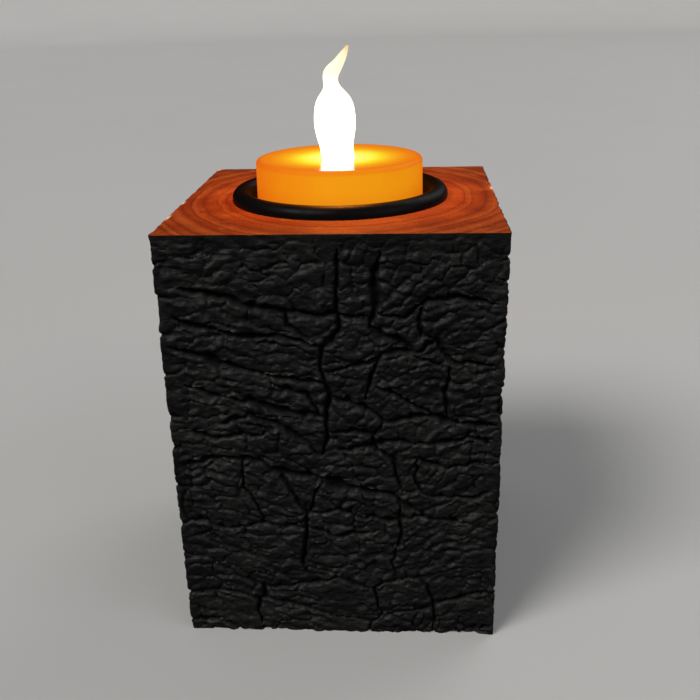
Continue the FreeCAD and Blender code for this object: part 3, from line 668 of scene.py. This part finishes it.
def flame():
    """The swaying flame with its neck, the flange under the case and the bore for the lamp."""
    dish = SHELL_HIGH.z - DISH_DEPTH
    foot = FLAME_LOW.z
    knots, sways, widths, depths = np.array(FLAME_SECTIONS).T
    points = []
    rows = []

    def row(height, sway, width, depth):
        rows.append(add_ring(points, sway, width, depth, height))

    for height, radius in (
        (foot, BORE_RADIUS),
        (foot, FLANGE_RADIUS - FLANGE_EDGE),
        (foot + FLANGE_EDGE, FLANGE_RADIUS),
        (foot + FLANGE_HEIGHT - FLANGE_EDGE, FLANGE_RADIUS),
        (foot + FLANGE_HEIGHT, FLANGE_RADIUS - FLANGE_EDGE),
        (foot + FLANGE_HEIGHT, NECK_RADIUS),
    ):
        row(height, 0, radius, radius)
    for height in np.linspace(knots[0], knots[-1], FLAME_STEPS):
        sway = curve_through(knots, sways, height)
        width = curve_through(knots, widths, height)
        depth = curve_through(knots, depths, height)
        row(dish + height * MM, sway * MM, width * MM, depth * MM)
    # A round end, which leans the way the tip does.
    tip_height, tip_sway, tip_width, _ = FLAME_SECTIONS[-1]
    for turn in (30, 60):
        angle = math.radians(turn)
        rise = math.sin(angle) * tip_width * 1.1
        radius = tip_width * math.cos(angle) * MM
        row(dish + (tip_height + rise) * MM, (tip_sway + rise * 0.55) * MM, radius, radius)
    faces = []
    for low, high in zip(rows[:-1], rows[1:]):
        faces += ring_faces(high, low, ROUND_STEPS)
    faces += fan_faces(rows[-1], len(points), ROUND_STEPS)
    points.append(((tip_sway + tip_width * 0.6) * MM, 0, dish + (tip_height + tip_width * 1.05) * MM))
    # The bore: a straight wall and a domed end.
    below = rows[0]
    for turn in range(0, 90, 15):
        angle = math.radians(turn)
        radius = BORE_RADIUS * math.cos(angle)
        height = foot + BORE_STRAIGHT + BORE_RADIUS * math.sin(angle)
        above = add_ring(points, 0, radius, radius, height)
        faces += ring_faces(below, above, ROUND_STEPS)
        below = above
    faces.append([below + spot for spot in reversed(range(ROUND_STEPS))])
    made = mesh_object("flame", points, faces)
    mark_sharp(made, 50)
    return made


# ---------------------------------------------------------------- materials


class Material:
    """A node material being built around its Principled shader."""

    def __init__(self, name, **fixed):
        self.data = bpy.data.materials.new(name)
        self.data.use_nodes = True
        self.tree = self.data.node_tree
        self.shader = self.tree.nodes["Principled BSDF"]
        for socket, value in fixed.items():
            self.set(socket.replace("_", " "), value)

    def put(self, socket, value):
        """Link an output, or set a plain value."""
        if isinstance(value, bpy.types.NodeSocket):
            self.tree.links.new(value, socket)
        else:
            socket.default_value = value

    def set(self, name, value):
        """Set or link one of the shader's own sockets."""
        self.put(self.shader.inputs[name], value)

    def node(self, kind, sockets, **settings):
        """A node with its settings and its inputs, by name or number."""
        made = self.tree.nodes.new("ShaderNode" + kind)
        for name, value in settings.items():
            setattr(made, name, value)
        for key, value in sockets.items():
            self.put(made.inputs[key], value)
        return made

    def place(self):
        """The place on the object, in metres."""
        return self.node("TexCoord", {}).outputs["Object"]

    def stretched(self, scale, vector=None):
        """The place with each axis scaled, so that noise can have a direction."""
        source = vector or self.place()
        mapping = self.node("Mapping", {"Vector": source, "Scale": scale})
        return mapping.outputs["Vector"]

    def noise(self, scale, detail=3.0, rough=0.5, vector=None):
        """Noise from 0 to 1."""
        sockets = {"Scale": scale, "Detail": detail, "Roughness": rough}
        sockets["Vector"] = vector or self.place()
        return self.node("TexNoise", sockets).outputs["Fac"]

    def maths(self, operation, first, second=0.0):
        """One sum of two numbers."""
        return self.node("Math", {0: first, 1: second}, operation=operation).outputs[0]

    def ramp(self, factor, stops):
        """A colour from a number, through (position, colour) stops."""
        made = self.node("ValToRGB", {"Fac": factor})
        band = made.color_ramp
        while len(band.elements) < len(stops):
            band.elements.new(0.5)
        for element, (position, colour) in zip(band.elements, stops):
            element.position = position
            element.color = (*colour, 1.0)
        return made.outputs["Color"]

    def levels(self, factor, low, high, bottom=0.0, top=1.0):
        """A number moved from one range to another and held inside it."""
        sockets = {"Value": factor, 1: low, 2: high, 3: bottom, 4: top}
        return self.node("MapRange", sockets).outputs[0]

    def mix(self, factor, first, second, blend="MIX"):
        """Two colours mixed."""
        made = self.node("Mix", {0: factor, 6: first, 7: second}, data_type="RGBA", blend_type=blend)
        return made.outputs[2]

    def bump(self, height, strength, depth, under=None):
        """A bump of a depth in metres, over another if one is given."""
        sockets = {"Height": height, "Strength": strength, "Distance": depth}
        if under:
            sockets["Normal"] = under
        return self.node("Bump", sockets).outputs["Normal"]

    def attribute(self, name):
        """One number kept on the mesh's points."""
        return self.node("Attribute", {}, attribute_name=name).outputs["Fac"]


def grey(level):
    """A neutral colour."""
    return (level, level, level)


def charred_wood():
    """Charcoal: near black plates with a dull sheen, cracks darkened to dead black as painted shade, and a
    little grey ash with painted highlight along the cracks' edges.
    """
    m = Material("charred_wood")
    crack = m.attribute("crack")
    plate = m.attribute("plate")
    flat = m.stretched((1.0, 1.0, 2.8))
    fibres = m.noise(700.0, 4.0, 0.62, flat)
    patches = m.noise(60.0, 3.0, 0.55)
    # The plate number lightens the plates' edges along the cracks: grey ash and painted highlight.
    shade = m.maths("ADD", m.maths("MULTIPLY", fibres, 0.55), m.maths("MULTIPLY", plate, 0.25))
    shade = m.maths("ADD", shade, m.maths("MULTIPLY", patches, 0.35))
    plates = m.ramp(shade, [
        (0.30, (0.0025, 0.0026, 0.0028)),
        (0.55, (0.0060, 0.0060, 0.0060)),
        (0.78, (0.0125, 0.0122, 0.0115)),
        (1.00, (0.0320, 0.0305, 0.0285)),
    ])
    # Painted shade: the cracks are darkened to dead black, the shade that falls into them.
    colour = m.mix(crack, plates, (0.0008, 0.0008, 0.0008, 1.0))
    m.set("Base Color", colour)
    dull = m.maths("ADD", m.maths("MULTIPLY", fibres, 0.5), m.maths("MULTIPLY", crack, 0.6))
    m.set("Roughness", m.levels(dull, 0.1, 0.8, 0.34, 0.9))
    m.set("Specular IOR Level", 0.24)
    crust = m.bump(m.noise(2400.0, 3.0, 0.6), 0.4, 0.00010)
    grain = m.bump(fibres, 0.8, 0.00030, crust)
    m.set("Normal", grain)
    return m.data


def end_grain():
    """Sawn end grain: uneven rings round the pith, pores, pale streaks and redder patches."""
    m = Material("end_grain")
    place = m.place()
    flat = m.node("VectorMath", {0: place, 1: (1.0, 0.90, 0.0)}, operation="MULTIPLY").outputs[0]
    centred = m.node("VectorMath", {0: flat, 1: PITH}, operation="SUBTRACT").outputs[0]
    distance = m.node("VectorMath", {0: centred}, operation="LENGTH").outputs["Value"]
    wander = m.maths("MULTIPLY", m.noise(38.0, 3.0, 0.5), 0.0052)
    tremor = m.maths("MULTIPLY", m.noise(230.0, 2.0, 0.5), 0.0006)
    warped = m.maths("ADD", m.maths("ADD", distance, wander), tremor)
    uneven = m.maths("SINE", m.maths("MULTIPLY", warped, 820.0))
    warped = m.maths("ADD", warped, m.maths("MULTIPLY", uneven, 0.00062))
    rings = m.maths("FRACT", m.maths("MULTIPLY", warped, 1 / RING_WIDTH))
    late = m.ramp(rings, [
        (0.00, grey(0.45)), (0.14, grey(0.14)), (0.42, grey(0.08)), (0.72, grey(0.42)), (0.90, grey(1.0)),
        (1.00, grey(0.45)),
    ])
    blotches = m.noise(95.0, 4.0, 0.6)
    # The wood's reds are partly its own colour and partly painted light: the flame's orange glow put into
    # the colour, warmer than the wood would look under white light.
    early = m.ramp(blotches, [
        (0.32, (0.175, 0.028, 0.003)),
        (0.50, (0.250, 0.044, 0.004)),
        (0.68, (0.335, 0.074, 0.009)),
    ])
    heart = m.levels(m.noise(42.0, 2.0, 0.5, m.stretched((1.0, 2.2, 1.0))), 0.50, 0.72)
    early = m.mix(m.maths("MULTIPLY", heart, 0.62), early, (0.165, 0.021, 0.004, 1.0))
    tone = m.mix(m.maths("MULTIPLY", late, 0.66), early, (0.092, 0.014, 0.003, 1.0))
    streak = m.levels(m.noise(520.0, 2.0, 0.6, m.stretched((0.5, 0.5, 1.0))), 0.60, 0.78)
    pale_ring = m.levels(m.maths("SINE", m.maths("MULTIPLY", warped, 1240.0)), 0.55, 1.0)
    streak = m.maths("MULTIPLY", m.maths("ADD", m.maths("MULTIPLY", pale_ring, 0.7), streak), 0.32)
    tone = m.mix(streak, tone, (0.44, 0.140, 0.030, 1.0))
    pores = m.noise(2300.0, 2.0, 0.7)
    tone = m.mix(1.0, tone, m.levels(pores, 0.30, 0.62, 0.62, 1.05), "MULTIPLY")
    tone = m.mix(m.attribute("bare"), tone, (0.80, 0.58, 0.42, 1.0))
    m.set("Base Color", tone)
    m.set("Roughness", m.levels(pores, 0.2, 0.8, 0.78, 0.52))
    m.set("Specular IOR Level", 0.06)
    ridges = m.bump(late, 0.45, 0.00012)
    fine = m.bump(pores, 0.5, 0.00010, ridges)
    sawn = m.bump(m.noise(300.0, 2.0, 0.5, m.stretched((0.25, 3.0, 1.0))), 0.4, 0.00012, fine)
    m.set("Normal", sawn)
    return m.data


def satin_black():
    """Black enamel on drawn metal: smooth, with faint orange-peel and dust."""
    m = Material("satin_black")
    dust = m.levels(m.noise(900.0, 4.0, 0.7), 0.58, 0.80)
    dust = m.maths("MULTIPLY", dust, 0.30)
    m.set("Base Color", m.mix(dust, (0.0026, 0.0026, 0.0028, 1), (0.016, 0.014, 0.012, 1)))
    m.set("Roughness", m.levels(m.noise(260.0, 3.0, 0.6), 0.3, 0.7, 0.38, 0.52))
    m.set("Specular IOR Level", 0.08)
    m.set("Normal", m.bump(m.noise(600.0, 2.0, 0.5), 0.05, 0.00004))
    return m.data


def lit_case():
    """Case plastic lit from inside, its light painted as glow: yellow round the flame's foot, orange
    out to the wall.

    The wall's glow is redder and dimmer at the back, at the left and towards its foot: painted shade.
    """
    m = Material("lit_case_glow")
    place = m.place()
    split = m.node("SeparateXYZ", {0: place}).outputs
    flat = m.node("VectorMath", {0: place, 1: (1.0, 1.0, 0.0)}, operation="MULTIPLY").outputs[0]
    distance = m.node("VectorMath", {0: flat}, operation="LENGTH").outputs["Value"]
    cloud = m.maths("SUBTRACT", m.noise(150.0, 3.0, 0.55), 0.5)
    spread = m.maths("ADD", distance, m.maths("MULTIPLY", cloud, 0.0016))
    # Painted light: a pool of yellow round the flame's foot, turning orange out to the wall.
    top_glow = m.ramp(m.levels(spread, 0.0, 20 * MM), [
        (0.20, (0.84, 0.88, 0.240)),
        (0.35, (0.84, 0.88, 0.110)),
        (0.42, (0.84, 0.82, 0.045)),
        (0.50, (0.81, 0.60, 0.018)),
        (0.58, (0.77, 0.41, 0.010)),
        (0.66, (0.74, 0.300, 0.007)),
        (0.78, (0.69, 0.195, 0.006)),
        (0.92, (0.64, 0.140, 0.005)),
    ])
    # Painted shade: the wall's glow is redder and dimmer towards the back and the left.
    side = m.maths("ADD", m.maths("MULTIPLY", split["X"], 0.30), m.maths("MULTIPLY", split["Y"], -1.0))
    side = m.levels(m.maths("ADD", side, m.maths("MULTIPLY", cloud, 0.010)), -0.016, 0.019)
    wall_glow = m.ramp(side, [
        (0.00, (0.60, 0.092, 0.001)),
        (0.45, (0.66, 0.125, 0.002)),
        (0.75, (0.71, 0.195, 0.002)),
        (1.00, (0.76, 0.285, 0.004)),
    ])
    # Painted shade: the wall's glow is redder and dimmer towards its foot and its top edge.
    up = m.levels(split["Z"], SHELL_LOW.z, SHELL_HIGH.z)
    fade = m.ramp(up, [
        (0.00, (0.78, 0.40, 0.3)), (0.30, (0.86, 0.54, 0.5)), (0.58, (0.97, 0.86, 0.9)),
        (0.74, (1.0, 1.0, 1.0)), (0.93, (0.98, 1.0, 1.0)), (0.965, (0.92, 0.70, 0.6)),
        (1.00, (0.92, 0.66, 0.7)),
    ])
    wall_glow = m.mix(1.0, wall_glow, fade, "MULTIPLY")
    on_wall = m.levels(distance, SHELL_HIGH.x - 1.4 * MM, SHELL_HIGH.x - 0.7 * MM)
    m.set("Emission Color", m.mix(on_wall, top_glow, wall_glow))
    m.set("Emission Strength", 1.0)
    # The orange base colour is the glow's colour put into the plastic: painted light.
    mottle = m.noise(90.0, 2.0, 0.5)
    m.set("Base Color", m.mix(mottle, (0.20, 0.050, 0.003, 1), (0.25, 0.066, 0.005, 1)))
    frosting = m.levels(m.noise(700.0, 3.0, 0.6), 0.3, 0.7, -0.03, 0.05)
    m.set("Roughness", m.maths("ADD", frosting, m.levels(on_wall, 0.0, 1.0, 0.17, 0.46)))
    m.set("Specular IOR Level", 0.03)
    m.set("Normal", m.bump(m.noise(1800.0, 2.0, 0.5), 0.06, 0.00002))
    return m.data


def lit_flame():
    """Flame lit from inside: brightest at the foot, creamy towards the thin tip."""
    m = Material("lit_flame")
    split = m.node("SeparateXYZ", {0: m.place()}).outputs
    up = m.levels(split["Z"], SHELL_HIGH.z - DISH_DEPTH, FLAME_HIGH.z)
    cloud = m.maths("MULTIPLY", m.maths("SUBTRACT", m.noise(260.0, 3.0, 0.6), 0.5), 0.10)
    glow = m.ramp(m.maths("ADD", up, cloud), [
        (0.00, (0.74, 0.72, 0.68)),
        (0.12, (0.80, 0.78, 0.74)),
        (0.30, (0.34, 0.33, 0.29)),
        (0.45, (0.30, 0.29, 0.25)),
        (0.62, (0.21, 0.20, 0.155)),
        (0.78, (0.157, 0.142, 0.104)),
        (0.90, (0.146, 0.124, 0.082)),
        (0.96, (0.136, 0.098, 0.052)),
        (1.00, (0.118, 0.058, 0.016)),
    ])
    m.set("Emission Color", glow)
    m.set("Emission Strength", 7.0)
    m.set("Base Color", m.mix(cloud, (0.30, 0.27, 0.20, 1), (0.34, 0.30, 0.22, 1)))
    m.set("Roughness", m.levels(m.noise(500.0, 2.0, 0.5), 0.3, 0.7, 0.28, 0.4))
    m.set("Specular IOR Level", 0.25)
    m.set("Normal", m.bump(m.noise(900.0, 2.0, 0.5), 0.15, 0.00006))
    return m.data


def moulded(name, colour, worn, roughness=0.45, glow=None):
    """Moulded plastic with a fine spark-eroded grain and slight mottling."""
    m = Material(name)
    mottle = m.levels(m.noise(220.0, 4.0, 0.6), 0.35, 0.75)
    m.set("Base Color", m.mix(mottle, (*colour, 1), (*worn, 1)))
    m.set("Roughness", m.levels(m.noise(1300.0, 2.0, 0.5), 0.3, 0.7, roughness - 0.06, roughness + 0.08))
    m.set("Normal", m.bump(m.noise(3200.0, 2.0, 0.6), 0.35, 0.00004))
    if glow:
        m.set("Emission Color", m.mix(mottle, (*glow, 1), (*[v * 0.8 for v in glow], 1)))
        m.set("Emission Strength", 0.35)
    return m.data


def drawn_metal(name, colour, tarnish, roughness, direction):
    """Metal sheet or wire with fine drawing lines along one axis and light tarnish."""
    m = Material(name, Metallic=1.0)
    lines = m.noise(2200.0, 2.0, 0.6, m.stretched(direction))
    spots = m.levels(m.noise(400.0, 4.0, 0.65), 0.5, 0.85)
    m.set("Base Color", m.mix(m.maths("MULTIPLY", spots, 0.6), (*colour, 1), (*tarnish, 1)))
    m.set("Roughness", m.levels(lines, 0.3, 0.7, roughness - 0.07, roughness + 0.09))
    m.set("Normal", m.bump(lines, 0.25, 0.00003))
    return m.data


def pale_floor():
    """A plain pale studio floor with a barely visible tooth."""
    m = Material("pale_floor")
    m.set("Base Color", m.mix(m.noise(6.0, 2.0, 0.5), (0.485, 0.48, 0.47, 1), (0.515, 0.51, 0.50, 1)))
    m.set("Roughness", 0.65)
    m.set("Normal", m.bump(m.noise(900.0, 2.0, 0.5), 0.05, 0.00005))
    return m.data


def finish_cad_nodes():
    """Node materials for the pieces that stay as the frame gives them."""
    enamel = satin_black()
    case_glow_finish = lit_case()
    zinc = drawn_metal("zinc_screw", (0.60, 0.61, 0.63), (0.34, 0.34, 0.35), 0.36, (1, 1, 3))
    nickel = drawn_metal("nickel_strip", (0.72, 0.69, 0.62), (0.42, 0.38, 0.30), 0.30, (1, 8, 1))
    tinned = drawn_metal("tinned_wire", (0.74, 0.74, 0.73), (0.45, 0.45, 0.44), 0.32, (1, 1, 6))
    steel = drawn_metal("cell_steel", (0.70, 0.70, 0.71), (0.40, 0.40, 0.41), 0.27, (6, 1, 1))
    lithium = drawn_metal("lithium", (0.55, 0.56, 0.58), (0.25, 0.26, 0.28), 0.5, (1, 1, 1))
    white = moulded("base_white", (0.80, 0.77, 0.70), (0.70, 0.66, 0.58))
    door = moulded("door_white", (0.78, 0.75, 0.69), (0.66, 0.62, 0.55), 0.40)
    black = moulded("switch_black", (0.020, 0.020, 0.021), (0.045, 0.044, 0.042), 0.42)
    powder = moulded("pellet_black", (0.030, 0.029, 0.028), (0.060, 0.057, 0.054), 0.85)
    seal = moulded("seal_grey", (0.52, 0.53, 0.52), (0.43, 0.44, 0.43), 0.5)
    resin = moulded("lamp_resin", (0.92, 0.78, 0.42), (0.84, 0.66, 0.30), 0.15, (1.0, 0.72, 0.26))
    finishes = {
        "candle_cup": enamel, "candle_shell": case_glow_finish,
        "base_screws": zinc,
        "positive_contact": nickel, "negative_contact": nickel, "lamp_terminal": nickel,
        "switch_contact": nickel, "led_anode_lead": tinned, "led_cathode_lead": tinned,
        "cell_can": steel, "cell_cap": steel, "cell_lithium": lithium, "cell_pellet": powder,
        "cell_seal": seal, "candle_base": white, "battery_door": door,
        "switch_slider": black, "led_lamp": resin,
    }
    for name, finish in finishes.items():
        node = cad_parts[name]
        node.data.materials.clear()
        node.data.materials.append(finish)


# ---------------------------------------------------------------- the studio


def studio():
    """A pale round floor that sweeps up to a low wall, three soft lights and pale surroundings.

    Neither the floor nor the surroundings show in gloss, so the case's top mirrors little but the
    flame.
    """
    profile = [(1.0, 0.0), (FLOOR_RADIUS, 0.0)]
    for step in range(1, SWEEP_STEPS + 1):
        angle = math.pi / 2 * step / SWEEP_STEPS
        out = FLOOR_RADIUS + SWEEP_RADIUS * math.sin(angle)
        profile.append((out, SWEEP_RADIUS * (1 - math.cos(angle))))
    points = []
    rings = [add_ring(points, 0, out, out, up) for out, up in profile]
    faces = fan_faces(rings[0], len(points), ROUND_STEPS)
    points.append((0, 0, 0))
    for inner, outer in zip(rings[:-1], rings[1:]):
        faces += ring_faces(inner, outer, ROUND_STEPS)
    floor = mesh_object("floor", points, faces)
    floor.data.materials.append(pale_floor())
    floor.visible_glossy = False
    for name, settings in LIGHTS.items():
        soft_light(name, *settings)
    world = bpy.data.worlds.new("surroundings")
    bpy.context.scene.world = world
    world.use_nodes = True
    back = world.node_tree.nodes["Background"]
    back.inputs["Color"].default_value = SURROUNDINGS_COLOUR
    back.inputs["Strength"].default_value = SURROUNDINGS_STRENGTH
    world.cycles_visibility.glossy = False
    return floor


def soft_light(name, place, spread, strength, colour):
    """Light from far away in one direction, with shadows softened over a spread in degrees."""
    data = bpy.data.lights.new(name, "SUN")
    data.angle = math.radians(spread)
    data.energy = strength
    data.color = colour
    light = bpy.data.objects.new(name, data)
    bpy.context.scene.collection.objects.link(light)
    light.location = Vector(place)
    light.rotation_euler = (-light.location).to_track_quat("-Z", "Y").to_euler()


def flame_light(carrier, lit, blockers):
    """The warm light that the flame throws on what stands around it.

    It falls on lit and on blockers, and only the blockers shade it.
    """
    data = bpy.data.lights.new("flame_light", "POINT")
    data.energy = FLAME_LIGHT_POWER
    data.color = FLAME_LIGHT_COLOUR
    data.shadow_soft_size = FLAME_LIGHT_RADIUS
    light = bpy.data.objects.new("flame_light", data)
    bpy.context.scene.collection.objects.link(light)
    light.location = (0, 0, SHELL_HIGH.z + FLAME_LIGHT_RISE)
    light.parent = carrier
    receivers = bpy.data.collections.new("lit_by_flame")
    for item in lit + blockers:
        receivers.objects.link(item)
    shades = bpy.data.collections.new("shading_flame")
    for item in blockers:
        shades.objects.link(item)
    light.light_linking.receiver_collection = receivers
    light.light_linking.blocker_collection = shades


def camera():
    """The viewpoint: just right of the front, above the top, looking down, with a slight roll."""
    pitch = math.radians(CAMERA_PITCH)
    yaw = math.radians(CAMERA_YAW)
    roll = math.radians(CAMERA_ROLL)
    forward = Vector((
        -math.sin(yaw) * math.cos(pitch), math.cos(yaw) * math.cos(pitch), -math.sin(pitch)
    ))
    level = Vector((math.cos(yaw), math.sin(yaw), 0))
    above = level.cross(forward)
    across = level * math.cos(roll) - above * math.sin(roll)
    up = level * math.sin(roll) + above * math.cos(roll)
    turn = Matrix((across, up, -forward)).transposed()
    data = bpy.data.cameras.new("camera")
    data.sensor_width = 36.0
    data.lens = CAMERA_LENS
    data.clip_start = 0.005
    made = bpy.data.objects.new("camera", data)
    bpy.context.scene.collection.objects.link(made)
    place = Vector(CAMERA_PLACE) * BLOCK_WIDTH + Vector((0, 0, BLOCK_HEIGHT))
    made.matrix_world = Matrix.Translation(place) @ turn.to_4x4()
    bpy.context.scene.camera = made


# ---------------------------------------------------------------- putting it together


def add_piece(made, body, node, material):
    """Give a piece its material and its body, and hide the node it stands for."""
    made.data.materials.append(material)
    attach(made, body)
    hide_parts(node)
    return made


def main():
    """Build the pieces, give every piece its material, and set up the studio and the camera."""
    char = charred_wood()
    wood = add_piece(wood_core(), "holder", "wood_block", end_grain())
    solid = [wood]
    for quarter in range(4):
        solid.append(add_piece(charred_side(quarter), "holder", "wood_block", char))
    lit = add_piece(flame(), "candle", "flame_tip", lit_flame())
    finish_cad_nodes()
    floor = studio()
    flame_light(lit, [floor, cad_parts["candle_cup"]], solid)
    camera()
    bpy.context.scene.view_settings.view_transform = "Standard"


main()
